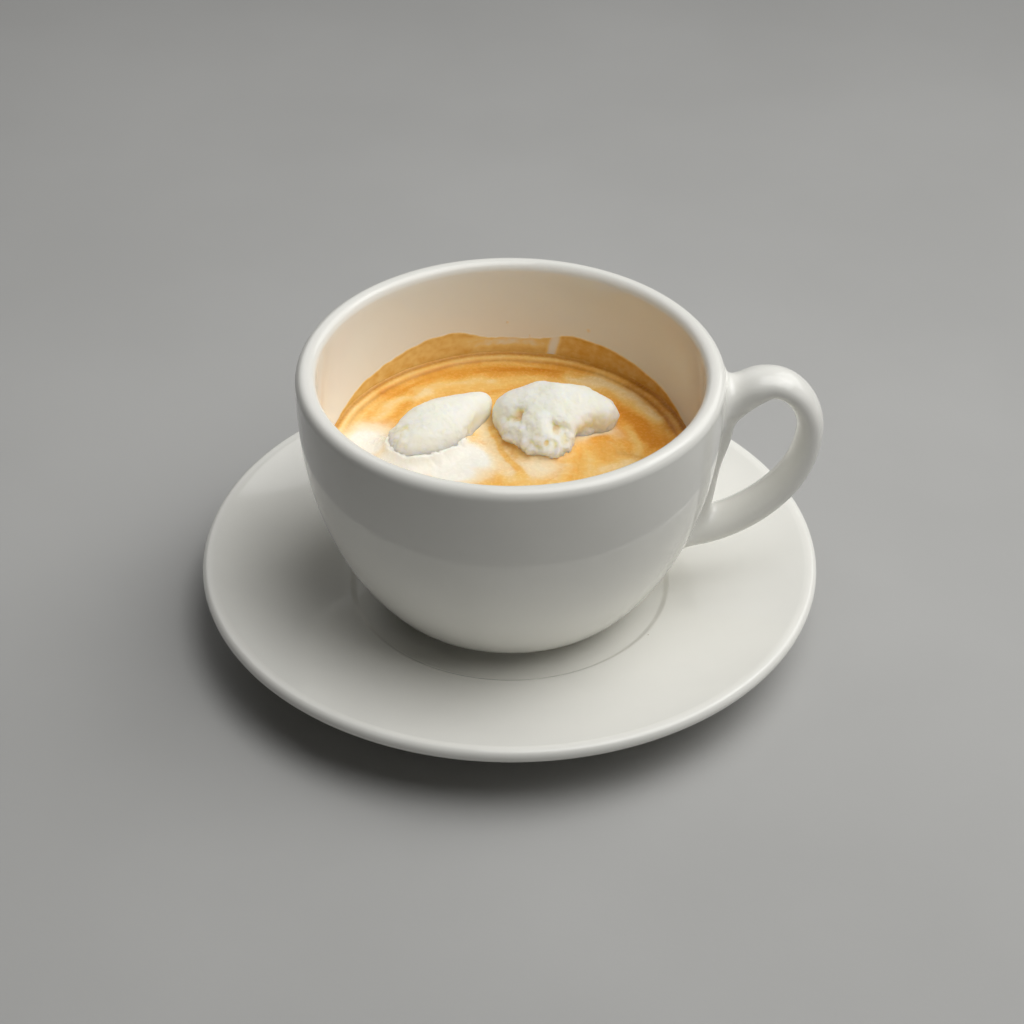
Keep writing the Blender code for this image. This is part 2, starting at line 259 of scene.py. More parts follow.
def glaze_group():
    """A clear glaze over white porcelain: faint clouds of colour, a rare iron speck, a long shallow ripple
    with fine pitting, and where it is bare, chalky ground clay. Heights are in millimetres."""
    group = bpy.data.node_groups.new("glaze", "ShaderNodeTree")
    for name, kind in (("Place", "Vector"), ("Porcelain", "Color"), ("Bare", "Float")):
        group.interface.new_socket(name, in_out="INPUT", socket_type="NodeSocket" + kind)
    for name, kind in (("Colour", "Color"), ("Roughness", "Float"), ("Height", "Float")):
        group.interface.new_socket(name, in_out="OUTPUT", socket_type="NodeSocket" + kind)
    given = group.nodes.new("NodeGroupInput").outputs
    place = given["Place"]
    cloud = add(group, "TexNoise", {"Vector": place, "Scale": 42.0, "Detail": 3.0}).outputs["Fac"]
    shade = ranged(group, cloud, 0.3, 0.7, 0.975, 1.0)
    tinted = add(group, "VectorMath", {0: given["Porcelain"], "Scale": shade}, operation="SCALE").outputs[0]
    spot = add(group, "TexVoronoi", {"Vector": place, "Scale": 150.0})
    near = ranged(group, spot.outputs["Distance"], 0.012, 0.03, 1.0, 0.0)
    chosen = add(group, "SeparateColor", {"Color": spot.outputs["Color"]}).outputs[0]
    rare = add(group, "Math", {0: chosen, 1: 0.93}, operation="GREATER_THAN").outputs[0]
    speck = add(group, "Math", {0: near, 1: rare}, operation="MULTIPLY").outputs[0]
    speckled = mixed(group, speck, tinted, (0.42, 0.36, 0.27, 1))
    colour = mixed(group, given["Bare"], speckled, (0.74, 0.71, 0.64, 1))
    patch = add(group, "TexNoise", {"Vector": place, "Scale": 75.0, "Detail": 4.0}).outputs["Fac"]
    smooth = ranged(group, patch, 0.3, 0.7, 0.045, 0.09)
    rough = add(group, "Mix", {0: given["Bare"], 2: smooth, 3: 0.75}).outputs[0]
    ripple = add(group, "TexNoise", {"Vector": place, "Scale": 85.0, "Detail": 1.0}).outputs["Fac"]
    pits = add(group, "TexNoise", {"Vector": place, "Scale": 1100.0, "Detail": 2.0}).outputs["Fac"]
    coarse = add(group, "Math", {0: ripple, 1: 0.02}, operation="MULTIPLY").outputs[0]
    fine = add(group, "Math", {0: pits, 1: 0.0012, 2: coarse}, operation="MULTIPLY_ADD").outputs[0]
    out = group.nodes.new("NodeGroupOutput")
    for name, socket in (("Colour", colour), ("Roughness", rough), ("Height", fine)):
        group.links.new(socket, out.inputs[name])
    return group


glaze = glaze_group()


def glazed(name, bare_below, bare_above):
    """Glazed porcelain that is bare between two heights, in millimetres, where the foot ring was wiped."""
    made, tree, shader = new_material(name)
    place = add(tree, "TexCoord").outputs["Object"]
    height = add(tree, "SeparateXYZ", {0: place}).outputs["Z"]
    under = ranged(tree, height, (bare_below - 0.15) * MM, bare_below * MM, 1.0, 0.0)
    over = ranged(tree, height, (bare_above - 0.15) * MM, bare_above * MM)
    bare = add(tree, "Math", {0: under, 1: over}, operation="MULTIPLY").outputs[0]
    group = add(tree, "Group", node_tree=glaze)
    tree.links.new(place, group.inputs["Place"])
    tree.links.new(bare, group.inputs["Bare"])
    group.inputs["Porcelain"].default_value = PORCELAIN
    tree.links.new(group.outputs["Colour"], shader.inputs["Base Color"])
    tree.links.new(group.outputs["Roughness"], shader.inputs["Roughness"])
    bump = add(tree, "Bump", {"Height": group.outputs["Height"], "Distance": MM, "Strength": 1.0})
    tree.links.new(bump.outputs["Normal"], shader.inputs["Normal"])
    shader.inputs["IOR"].default_value = 1.5
    return made


saucer = turned("saucer_plate", saucer_profile(), SAUCER_COLUMNS)
saucer.data.materials.append(glazed("saucer_porcelain", 0.35, -1.0))
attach(saucer, "root")
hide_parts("saucer")


# The cup: a deep round bowl of the same porcelain with a thick rolled lip, slip-cast, glazed inside and
# out, and standing in the saucer's well on a low foot ring that is left bare.
CUP_COLUMNS = 300
CUP_RADIUS = 50.0
CUP_RIM = 69.5
CUP_BASE = 6.8
LIP_RADIUS = 2.4
LIP_LEVEL = CUP_RIM - LIP_RADIUS
INNER_FLOOR = 14.5


def outer_radius(height):
    """The outer wall: a superellipse from the lip down to the foot, in millimetres."""
    share = np.clip((LIP_LEVEL - height) / (LIP_LEVEL - 5.3), 0.0, 1.0)
    return 26.7 + (CUP_RADIUS - 26.7) * (1.0 - share**2.41) ** (1 / 1.25)


def inner_radius(height):
    """The inner wall: a fuller superellipse from the lip down to a flat floor, in millimetres."""
    share = np.clip((LIP_LEVEL - height) / (LIP_LEVEL - INNER_FLOOR), 0.0, 1.0)
    return (CUP_RADIUS - 2 * LIP_RADIUS) * (1.0 - share**2.4) ** (1 / 4)


def cup_profile():
    """The floor, the inner wall up to the lip, half a circle over it, the outer wall down to its turn, an
    arc in under the bowl, and the foot ring. In millimetres, from the axis round to the axis."""
    quarter = 1 - np.sin(0.5 * np.pi * np.linspace(1.0, 0.0, 56, endpoint=False))
    inner_height = INNER_FLOOR + (LIP_LEVEL - INNER_FLOOR) * quarter
    inner = np.stack([inner_radius(inner_height), inner_height], axis=1)[1:]
    outer_height = 10.7 + (LIP_LEVEL - 10.7) * np.cos(0.5 * np.pi * np.linspace(0.0, 1.0, 56))
    outer = np.stack([outer_radius(outer_height), outer_height], axis=1)
    slope = math.radians(-45)
    turn = (outer[-1, 0] - 8 * math.cos(slope), 10.7 - 8 * math.sin(slope))
    return np.vstack([
        run((0.0, INNER_FLOOR), (inner[0, 0], INNER_FLOOR + 0.001), 16), inner,
        arc((CUP_RADIUS - LIP_RADIUS, LIP_LEVEL), LIP_RADIUS, 176, 0, 26)[:-1], outer,
        arc(turn, 8.0, -45, -82, 10)[1:], arc((27.1, 7.3), 0.5, 0, -90, 6),
        arc((23.4, 7.2), 0.4, -90, -180, 5), run((22.6, 8.4), (21.8, 10.0), 4),
        run((21.8, 10.0), (0.0, 10.0), 8), [(0.0, 10.0)],
    ])


porcelain = glazed("cup_porcelain", CUP_BASE + 0.35, CUP_BASE - 0.1)
bowl = turned("cup_bowl", cup_profile(), CUP_COLUMNS)
bowl.data.materials.append(porcelain)
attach(bowl, "root")
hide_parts("cup")


# The handle: an oval strap of the same porcelain bent to an ear, with a web down the wall under it. It
# was cast apart, stuck on with slip before the first firing, and its joins were sponged to soft fillets.
WALL_BITE = 2.8
STRAP_HALF_WIDTH = 5.2
STRAP_HALF_THICKNESS = 3.15
ROOT_SWELL = 0.22
LOWER_SWELL = 0.12
WEB_HALF_WIDTH = 4.3
WEB_NARROWING = 0.7
WEB_HALF_THICKNESS = 3.0
STRAP_TO_WEB_FILLET = 3.0
HANDLE_STEP = 0.55


def through(places, headings, per_span):
    """A smooth path through places in the plane of the handle: between each two runs a cubic that leaves
    and arrives along their headings, pulled by 1.1 times the distance. Heights count from the well."""
    places = np.array(places) + (0.0, WELL_LEVEL)
    headings = np.array(headings) / np.linalg.norm(headings, axis=1, keepdims=True)
    t = np.linspace(0.0, 1.0, per_span, endpoint=False)[:, None]
    spans = []
    for a, b, to_a, to_b in zip(places, places[1:], headings, headings[1:]):
        pull = 1.1 * np.linalg.norm(b - a)
        spans.append(
            a * (2 * t**3 - 3 * t**2 + 1) + b * (3 * t**2 - 2 * t**3)
            + to_a * pull * (t**3 - 2 * t**2 + t) + to_b * pull * (t**3 - t**2)
        )
    return np.vstack(spans + [places[-1:]])


def strap_depth(points, path, half_width, half_thickness):
    """How far points lie outside an oval strap along a path in the handle's plane, negative inside. The
    nearest point of the path gives the distance across, and the oval's own scale turns it to length."""
    heading = np.gradient(path, axis=0)
    heading /= np.linalg.norm(heading, axis=1, keepdims=True)
    flat = points[:, [0, 2]]
    depth = np.empty(len(points))
    for part in np.array_split(np.arange(len(points)), max(1, len(points) // 40000)):
        away = flat[part, None, :] - path[None]
        nearest = (away**2).sum(-1).argmin(1)
        off = away[np.arange(len(part)), nearest]
        along = heading[nearest]
        across = off[:, 0] * along[:, 1] - off[:, 1] * along[:, 0]
        past = (off * along).sum(1)
        wide, thickness_and_shade = half_width[nearest], half_thickness[nearest]
        y = points[part, 1]
        size = np.sqrt((y / wide) ** 2 + (across**2 + past**2) / thickness_and_shade**2) + 1e-9
        slope = np.sqrt((y / wide**2) ** 2 + (across**2 + past**2) / thickness_and_shade**4) + 1e-9
        depth[part] = size * (size - 1) / slope
    return depth


def merged(first, second, reach):
    """The nearer of two depths, rounded into a fillet where they differ by less than the reach."""
    near = np.maximum(reach - np.abs(first - second), 0) / reach
    return np.minimum(first, second) - 0.25 * near**2 * reach


def handle_depth(points):
    """Strap and web, joined to each other and to the cup's wall by fillets. The wall's share is a thin pad
    just under the glaze, so that only the fillets rise out of it."""
    strap_path = through(
        [(47.6, 52.4), (60.2, 59.3), (70.5, 46.6), (58.4, 23.6), (39.6, 17.0)],
        [(0.84, 0.54), (1.0, 0.0), (0.0, -1.0), (-0.79, -0.61), (-1.0, 0.0)], 50,
    )
    share = np.linspace(0.0, 1.0, len(strap_path))
    swell = 1 + ROOT_SWELL * np.abs(2 * share - 1) ** 6 + LOWER_SWELL * np.clip((share - 0.5) / 0.25, 0, 1)
    strap = strap_depth(points, strap_path, STRAP_HALF_WIDTH * swell, STRAP_HALF_THICKNESS * swell)
    web_path = through(
        [(57.4, 57.2), (49.6, 46.5), (47.4, 37.0), (44.6, 21.5)],
        [(-0.75, -0.66), (-0.12, -0.99), (-0.22, -0.98), (-0.3, -0.95)], 40,
    )
    down = np.linspace(0.0, 1.0, len(web_path))
    web_width = WEB_HALF_WIDTH - WEB_NARROWING * down
    web = strap_depth(points, web_path, web_width, WEB_HALF_THICKNESS + 0 * down)
    radius = np.hypot(points[:, 0], points[:, 1])
    wall = (radius - outer_radius(points[:, 2])) * 0.9
    height = points[:, 2]
    roots = np.clip(np.abs(height - 42.0) / 18.0, 0, 1) ** 2
    body = merged(merged(strap, web, STRAP_TO_WEB_FILLET), wall + 0.06, 1.2 + 2.8 * roots)
    pad = np.maximum(np.abs(points[:, 1]) - 11.0, np.abs(height - 40.0) - 27.5)
    kept = np.minimum(pad, -(wall + 0.03))
    return np.maximum(np.maximum(body, kept), -(wall + WALL_BITE))


def skinned(name, depth, low, high, step):
    """A closed skin where a depth function crosses zero, by surface nets: each cube of a grid that holds
    the crossing gets a point at the middle of its crossings, four such cubes round a crossed edge make a
    face, and three steps along the depth's slope bring the points onto the surface."""
    counts = [int((b - a) / step) + 1 for a, b in zip(low, high)]
    axes = [a + step * np.arange(n) for a, n in zip(low, counts)]
    grid = np.stack(np.meshgrid(*axes, indexing="ij"), axis=-1)
    value = depth(grid.reshape(-1, 3)).reshape(counts)
    cubes = [n - 1 for n in counts]
    total = np.zeros(cubes + [3])
    hits = np.zeros(cubes)
    number = np.arange(np.prod(cubes)).reshape(cubes)
    faces = []
    for axis in range(3):
        u, v = (axis + 1) % 3, (axis + 2) % 3
        order = np.argsort([axis, u, v])
        turned_value = value.transpose(axis, u, v)
        near, far = turned_value[:-1], turned_value[1:]
        crossed = (near < 0) != (far < 0)
        share = np.where(crossed, near / np.where(crossed, near - far, 1.0), 0.0)
        place = grid.transpose(axis, u, v, 3)[:-1].copy()
        place[..., axis] += share * step
        place *= crossed[..., None]
        for du in (0, 1):
            for dv in (0, 1):
                window = (slice(None), slice(du, du + cubes[u]), slice(dv, dv + cubes[v]))
                total += place[window].transpose(*order, 3)
                hits += crossed[window].transpose(*order)
        inner = crossed[:, 1:-1, 1:-1]
        i, j, k = np.nonzero(inner)
        cube = number.transpose(axis, u, v)
        corners = (cube[i, j, k], cube[i, j + 1, k], cube[i, j + 1, k + 1], cube[i, j, k + 1])
        quad = np.stack(corners, axis=1)
        leaving = near[:, 1:-1, 1:-1][i, j, k] < 0
        faces.append(np.where(leaving[:, None], quad, quad[:, ::-1]))
    used = np.nonzero(hits.ravel())[0]
    fresh = np.full(hits.size, -1)
    fresh[used] = np.arange(len(used))
    points = total.reshape(-1, 3)[used] / hits.ravel()[used, None]
    nudge = 0.02
    for _ in range(3):
        slope = np.stack([
            (depth(points + nudge * side) - depth(points - nudge * side)) / (2 * nudge)
            for side in np.eye(3)
        ], axis=1)
        steepness = np.maximum((slope**2).sum(1, keepdims=True), 0.05)
        points = points - np.clip(depth(points)[:, None] * slope / steepness, -0.5 * step, 0.5 * step)
    quads = fresh[np.concatenate(faces)]
    return mesh_object(name, points * MM, quads.ravel(), 4 * np.arange(len(quads)), None)


handle = skinned("cup_handle", handle_depth, (36.0, -12.4, 11.0), (76.0, 12.6, 71.0), HANDLE_STEP)
handle.data.materials.append(porcelain)
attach(handle, "root")
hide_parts("cup")


# The coffee: espresso with a thick crema that fills the cup to just over half its height. Swirls of pale
# foam lie in it, it climbs a little at the wall, and the ice cream melts into it in white pools.
COFFEE_LEVEL = 43.8
COFFEE_COLUMNS = 440
COFFEE_ROWS = 170
WALL_OVERLAP = 0.05
LEFT_LUMP = {
    "middle": (-17.3, 7.7),
    "half": (14.4, 9.2, 8.7, 11.0),
    "turn": 44.0,
    "lobes": [
        ((0.99, 0.09, 0.14), 0.31, 0.30),
        ((0.88, -0.47, 0.10), -0.30, 0.32),
        ((0.50, -0.86, 0.14), -0.33, 0.36),
        ((0.55, 0.83, -0.05), 0.22, 0.50),
        ((-0.93, -0.34, 0.17), 0.07, 0.45),
    ],
    "rough": 0.075,
    "seed": 31,
}
RIGHT_LUMP = {
    "middle": (10.2, 14.2),
    "half": (13.4, 12.3, 9.1, 11.5),
    "turn": -8.0,
    "lobes": [
        ((0.96, 0.08, 0.26), 0.25, 0.34),
        ((0.90, -0.40, 0.14), -0.22, 0.28),
        ((0.72, -0.69, 0.10), -0.31, 0.26),
        ((0.37, -0.92, 0.14), 0.15, 0.28),
        ((-0.09, -0.99, 0.14), 0.27, 0.34),
        ((-0.63, -0.75, 0.21), 0.11, 0.40),
        ((-0.97, 0.00, 0.26), 0.13, 0.42),
        ((0.13, 0.75, 0.64), -0.07, 0.42),
        ((0.71, 0.41, 0.57), 0.05, 0.40),
        ((0.45, 0.88, -0.10), 0.10, 0.50),
        ((-0.69, -0.54, 0.48), -0.11, 0.20),
        ((-0.22, -0.76, 0.61), 0.08, 0.20),
        ((0.22, -0.84, 0.50), -0.10, 0.18),
        ((-0.40, 0.12, 0.91), -0.06, 0.25),
        ((0.02, 0.41, 0.91), 0.05, 0.30),
    ],
    "rough": 0.085,
    "seed": 84,
}


def drift(points, cell, seed, octaves=4):
    """Smooth noise of about -1 to 1. Each corner of a cubic lattice has a random direction, the dot
    product with it is eased between the eight corners, and each octave is half as large and as strong."""
    slopes = np.random.default_rng(seed).normal(size=(32, 32, 32, 3))
    slopes /= np.linalg.norm(slopes, axis=-1, keepdims=True)
    place = points / cell
    total = np.zeros(points.shape[:-1])
    for octave in range(octaves):
        base = np.floor(place).astype(int)
        within = place - base
        ease = within**3 * (within * (within * 6 - 15) + 10)
        for corner in np.ndindex(2, 2, 2):
            at = (base + corner) % 32
            slope = slopes[at[..., 0], at[..., 1], at[..., 2]]
            weight = np.where(np.array(corner) == 1, ease, 1 - ease).prod(-1)
            total += 1.6 * 0.5**octave * weight * (slope * (within - corner)).sum(-1)
        place = place * 2.03 + 7.1
    return total


def lump_reach(directions, lump):
    """Distance from a lump's middle to its surface: an ellipsoid, deeper below the coffee than above,
    times one bump or dent for each lobe. Directions are along the lump's own axes."""
    across, deep, up, down = lump["half"]
    tall = np.where(directions[..., 2] > 0, up, down)
    halves = np.stack([0 * tall + across, 0 * tall + deep, tall], axis=-1)
    reach = 1 / np.sqrt((directions / halves) ** 2 @ np.ones(3))
    for toward, height, width in lump["lobes"]:
        away = np.linalg.norm(directions - np.array(toward) / np.linalg.norm(toward), axis=-1)
        reach *= 1 + height * np.exp(-((away / width) ** 2))
    return reach


def shore_distance(x, y, lump):
    """How far points of the coffee's surface lie outside a lump's waterline, in millimetres."""
    turn = math.radians(lump["turn"])
    east, north = x - lump["middle"][0], y - lump["middle"][1]
    along = east * math.cos(turn) + north * math.sin(turn)
    aside = north * math.cos(turn) - east * math.sin(turn)
    local = np.stack([along, aside, 0 * east], axis=-1)
    distance = np.linalg.norm(local, axis=-1) + 1e-6
    return distance - lump_reach(local / distance[..., None], lump)


def near_line(x, y, places, width):
    """One on a line through places in the coffee's surface, falling to nothing over about its width."""
    nearest = np.full(x.shape, np.inf)
    for (ax, ay), (bx, by) in zip(places, places[1:]):
        length = (bx - ax) ** 2 + (by - ay) ** 2
        share = np.clip(((x - ax) * (bx - ax) + (y - ay) * (by - ay)) / length, 0, 1)
        away = np.hypot(x - ax - share * (bx - ax), y - ay - share * (by - ay))
        nearest = np.minimum(nearest, away)
    return np.exp(-((nearest / width) ** 2))


def near_spot(x, y, place, across, deep):
    """One at a place in the coffee's surface, falling to nothing over an oval patch."""
    return np.exp(-(((x - place[0]) / across) ** 2) - ((y - place[1]) / deep) ** 2)


def coffee_surface(x, y):
    """Height of the coffee over its level, and the shares of pale foam, melted cream and darker coffee. The
    foam and darker shares also hold painted shade, on the right where the right wall shades the coffee.
    """
    flat = np.stack([x, y, 0 * x], axis=-1)
    radius = np.hypot(x, y)
    wander = drift(flat, 12.0, 5, 3)
    warped_x = x + 1.5 * drift(flat, 10.0, 11, 2)
    warped_y = y + 1.5 * drift(flat, 10.0, 12, 2)
    middle = np.maximum(radius, 1)
    around = np.stack([x / middle * 1.3, y / middle * 1.3, (radius + 2.0 * wander) / 3.4], axis=-1)
    streaks = drift(around, 1.0, 21, 4)
    fine = drift(np.stack([warped_x, warped_y * 1.5, 0 * x], axis=-1), 3.2, 22, 3)
    wall = inner_radius(COFFEE_LEVEL)

    back = np.clip(0.6 + y / 30.0, 0, 1)
    ring_radius = 42.0 + 0.3 * drift(flat, 14.0, 31, 2)
    ring = np.exp(-(((radius - ring_radius) / 0.55) ** 2)) * back
    second = np.exp(-(((radius - ring_radius + 2.6) / 0.55) ** 2)) * back
    second *= np.clip(0.4 - 0.9 * streaks, 0, 1)
    left_path = [(-33.0, 15.0), (-28.5, 21.5), (-21.0, 26.5)]
    back_path = [(-24.0, 28.0), (-15.0, 31.5), (-4.0, 32.5)]
    right_path = [(15.5, 33.5), (24.0, 30.0), (31.5, 23.5), (35.5, 15.5)]
    swirl_path = [(23.0, -5.0), (29.5, -1.5), (31.0, 6.0), (28.0, 12.0)]
    left_streak = near_line(warped_x, warped_y, left_path, 1.7)
    back_streak = near_line(warped_x, warped_y, back_path, 1.6)
    right_streak = near_line(warped_x, warped_y, right_path, 1.9)
    right_swirl = near_line(warped_x, warped_y, swirl_path, 1.5)
    deep_back = [(-30.0, 25.5), (-20.0, 33.0), (-8.0, 37.0), (8.0, 37.0), (18.0, 34.5)]
    deep_right = [(24.0, 20.0), (30.5, 14.5), (35.0, 6.0)]
    deep_left = [(-33.5, 10.0), (-29.5, 16.5), (-24.0, 21.5)]
    orange = near_line(warped_x, warped_y, deep_back, 2.6)
    orange += 0.9 * near_line(warped_x, warped_y, deep_right, 2.8)
    orange += 0.6 * near_line(warped_x, warped_y, deep_left, 1.5)

    left_shore = shore_distance(x, y, LEFT_LUMP) + 0.5 * fine
    right_shore = shore_distance(x, y, RIGHT_LUMP) + 0.5 * fine
    front = np.clip((9.0 - y) / 6.0, 0, 1)
    white = front * np.exp(-np.maximum(left_shore, 0) / 2.2)
    pools = [
        ((-33.5, 4.5), 6.0, 7.5),
        ((-25.0, -5.5), 10.0, 6.5),
        ((-14.0, -6.5), 8.0, 4.8),
        ((-8.5, -1.6), 5.6, 6.2),
        ((-16.0, -1.5), 12.5, 6.5),
    ]
    for place, across, deep in pools:
        white = np.maximum(white, 1.3 * near_spot(warped_x, warped_y, place, across, deep))
    blush = 0.52 * near_spot(warped_x, warped_y, (6.0, -5.2), 8.0, 4.2)
    blush += 0.40 * near_spot(warped_x, warped_y, (20.5, 8.6), 7.0, 3.6)
    blush += 0.18 * np.exp(-np.maximum(right_shore, 0) / 1.2)
    channel_path = [(-7.0, 15.0), (-6.4, 9.0), (-4.6, 4.0), (-2.0, -1.0), (0.0, -5.0)]
    channel = near_line(x, y, channel_path, 2.6)
    cream = np.maximum(white, blush)
    cream = cream * (1 - channel) + 0.38 * channel
    channel_edge = [(-3.6, 11.0), (-2.4, 4.0), (-0.4, -1.5), (2.4, -8.0)]
    cream -= 0.42 * near_line(warped_x, warped_y, channel_edge, 0.8)
    cream -= 0.45 * near_spot(warped_x, warped_y, (21.5, 7.2), 2.6, 1.5)
    cream = np.clip(cream + 0.06 * fine, 0, 1)

    foam_and_shade = 0.52 + 0.20 * streaks + 0.07 * fine
    # Painted shade: less foam, so a deeper orange, on the right, where the right wall shades the coffee.
    foam_and_shade -= 0.20 * np.clip((x - 18) / 14, 0, 1) * np.clip((y + 2) / 8, 0, 1)
    foam_and_shade += 0.30 * ring + 0.4 * second + 0.42 * left_streak + 0.34 * back_streak + 0.60 * right_streak
    foam_and_shade += 0.35 * right_swirl - 0.34 * orange + 0.06 * np.clip(-y / 12.0, -1, 1)
    foam_and_shade = np.clip(foam_and_shade, 0, 1)
    dark_and_shade = 0.55 * np.exp(-(((radius - wall + 0.45) / 0.6) ** 2)) * np.clip(back + 0.3, 0, 1)
    dark_and_shade += 0.40 * np.exp(-(((radius - ring_radius + 1.15) / 0.42) ** 2)) * back
    # Painted shade of the right wall: a dark band along the coffee's right back edge.
    dark_and_shade += 0.40 * near_line(warped_x, warped_y, [(30.0, 29.0), (36.0, 20.5), (39.5, 11.5)], 2.0)
    dark_and_shade += 0.30 * near_line(warped_x, warped_y, [(26.5, 1.8), (29.5, 0.8), (32.0, -0.8)], 1.5)
    dark_and_shade = np.clip(dark_and_shade, 0, 1) * (1 - cream)

    height = 0.5 * np.exp(-(((radius - ring_radius) / 1.3) ** 2)) + 1.0 * np.exp((radius - wall) / 1.2)
    height += 0.12 * streaks + 0.05 * fine + 0.25 * (right_streak + left_streak + back_streak)
    shore = np.maximum(np.minimum(left_shore, right_shore), 0)
    height += 0.5 * cream * np.exp(-shore / 3.0) - 0.35 * channel
    melting = np.exp(-np.maximum(left_shore, 0) / 3.0) + 0.4 * np.exp(-np.maximum(right_shore, 0) / 0.8)
    height += 2.9 * front * melting * (0.9 + 0.2 * fine) * (1 - 0.7 * channel)
    return height, foam_and_shade, cream, dark_and_shade


def coffee_grid():
    """Rows out from the axis over the surface, then down along the wall and back over the cup's floor,
    each row a circle. The side reaches a hair's breadth into the wall, so that no gap shows."""
    turn = np.linspace(0, 2 * np.pi, COFFEE_COLUMNS, endpoint=False)
    wall = inner_radius(COFFEE_LEVEL + 1.0) + WALL_OVERLAP
    radius = wall * np.linspace(0.0, 1.0, COFFEE_ROWS)[:, None] ** 0.9
    x, y = radius * np.cos(turn), radius * np.sin(turn)
    height, foam_and_shade, cream, dark_and_shade = coffee_surface(x, y)
    top = np.stack([x, y, COFFEE_LEVEL + height], axis=-1)
    side_height = np.linspace(COFFEE_LEVEL - 1.0, INNER_FLOOR + 2.0, 14)
    side_radius = inner_radius(side_height) + WALL_OVERLAP
    side_radius = np.append(side_radius, [side_radius[-1] * 0.8, 0.0])
    side_height = np.append(side_height, [INNER_FLOOR - WALL_OVERLAP] * 2)
    side = np.stack([side_radius[:, None] * np.cos(turn), side_radius[:, None] * np.sin(turn),
                     side_height[:, None] + 0 * turn], axis=-1)
    below = np.zeros(side.shape[:2])
    fields = {
        "foam_and_shade": np.vstack([foam_and_shade, below]),
        "cream": np.vstack([cream, below]),
        "dark_and_shade": np.vstack([dark_and_shade, below]),
    }
    return np.concatenate([top, side]), fields


def crema_material():
    made, tree, shader = new_material("crema")
    place = add(tree, "TexCoord").outputs["Object"]
    foam_and_shade, cream, dark_and_shade = (add(tree, "Attribute", attribute_name=name).outputs["Fac"]
                         for name in ("foam_and_shade", "cream", "dark_and_shade"))
    mottle = add(tree, "TexNoise", {"Vector": place, "Scale": 1100.0, "Detail": 3.0}).outputs["Fac"]
    uneven = add(tree, "Math", {0: mottle, 1: 0.14, 2: foam_and_shade}, operation="MULTIPLY_ADD").outputs[0]
    share = add(tree, "Math", {0: uneven, 1: 0.07}, operation="SUBTRACT").outputs[0]
    swirl = add(tree, "ValToRGB", {"Fac": share})
    ramp = swirl.color_ramp.elements
    ramp[0].color = (0.74, 0.285, 0.025, 1)
    ramp[1].color = (0.97, 0.72, 0.38, 1)
    for stop, colour in ((0.3, (0.87, 0.425, 0.075, 1)), (0.62, (0.94, 0.58, 0.175, 1))):
        ramp.new(stop).color = colour
    # The dark share darkens the swirls: darker coffee, and painted shade on the right.
    darkened_and_shaded = mixed(tree, dark_and_shade, swirl.outputs["Color"], (0.40, 0.130, 0.010, 1))
    half_melted = mixed(tree, ranged(tree, cream, 0.05, 0.55), darkened_and_shaded, (0.96, 0.79, 0.54, 1))
    melted = mixed(tree, ranged(tree, cream, 0.45, 1.0), half_melted, (0.95, 0.925, 0.845, 1))
    tree.links.new(melted, shader.inputs["Base Color"])
    wet = ranged(tree, mottle, 0.3, 0.7, 0.18, 0.32)
    tree.links.new(wet, shader.inputs["Roughness"])
    bubbles = add(tree, "TexVoronoi", {"Vector": place, "Scale": 1500.0}, feature="SMOOTH_F1")
    height = add(tree, "Math", {0: bubbles.outputs["Distance"], 1: -0.02}, operation="MULTIPLY").outputs[0]
    height = add(tree, "Math", {0: mottle, 1: 0.02, 2: height}, operation="MULTIPLY_ADD").outputs[0]
    bump = add(tree, "Bump", {"Height": height, "Distance": MM, "Strength": 0.6})
    tree.links.new(bump.outputs["Normal"], shader.inputs["Normal"])
    shader.inputs["Subsurface Weight"].default_value = 0.15
    shader.inputs["Subsurface Radius"].default_value = (0.003, 0.0015, 0.0006)
    shader.inputs["Subsurface Scale"].default_value = 1.0
    shader.inputs["IOR"].default_value = 1.36
    return made


coffee_points, coffee_fields = coffee_grid()
coffee = wrapped("coffee_crema", coffee_points, coffee_fields)
coffee.data.materials.append(crema_material())
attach(coffee, "root")
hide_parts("coffee")


# The film of coffee on the wall: where the cup was tipped or the coffee swirled, a thin brown film dried
# above its level, highest at the back left, with a gap at the back and a few drips over it.
FILM_COLUMNS = 680
FILM_ROWS = 72
FILM_TOP = 10.8
FILM_DEPTH = 1.2
FILM_DEGREE = 0.76
FILM_DRIPS = [(91.2, 9.2, 0.40, 0.30), (64.6, 9.6, 0.60, 0.30), (84.0, 5.6, 0.45, 0.35)]


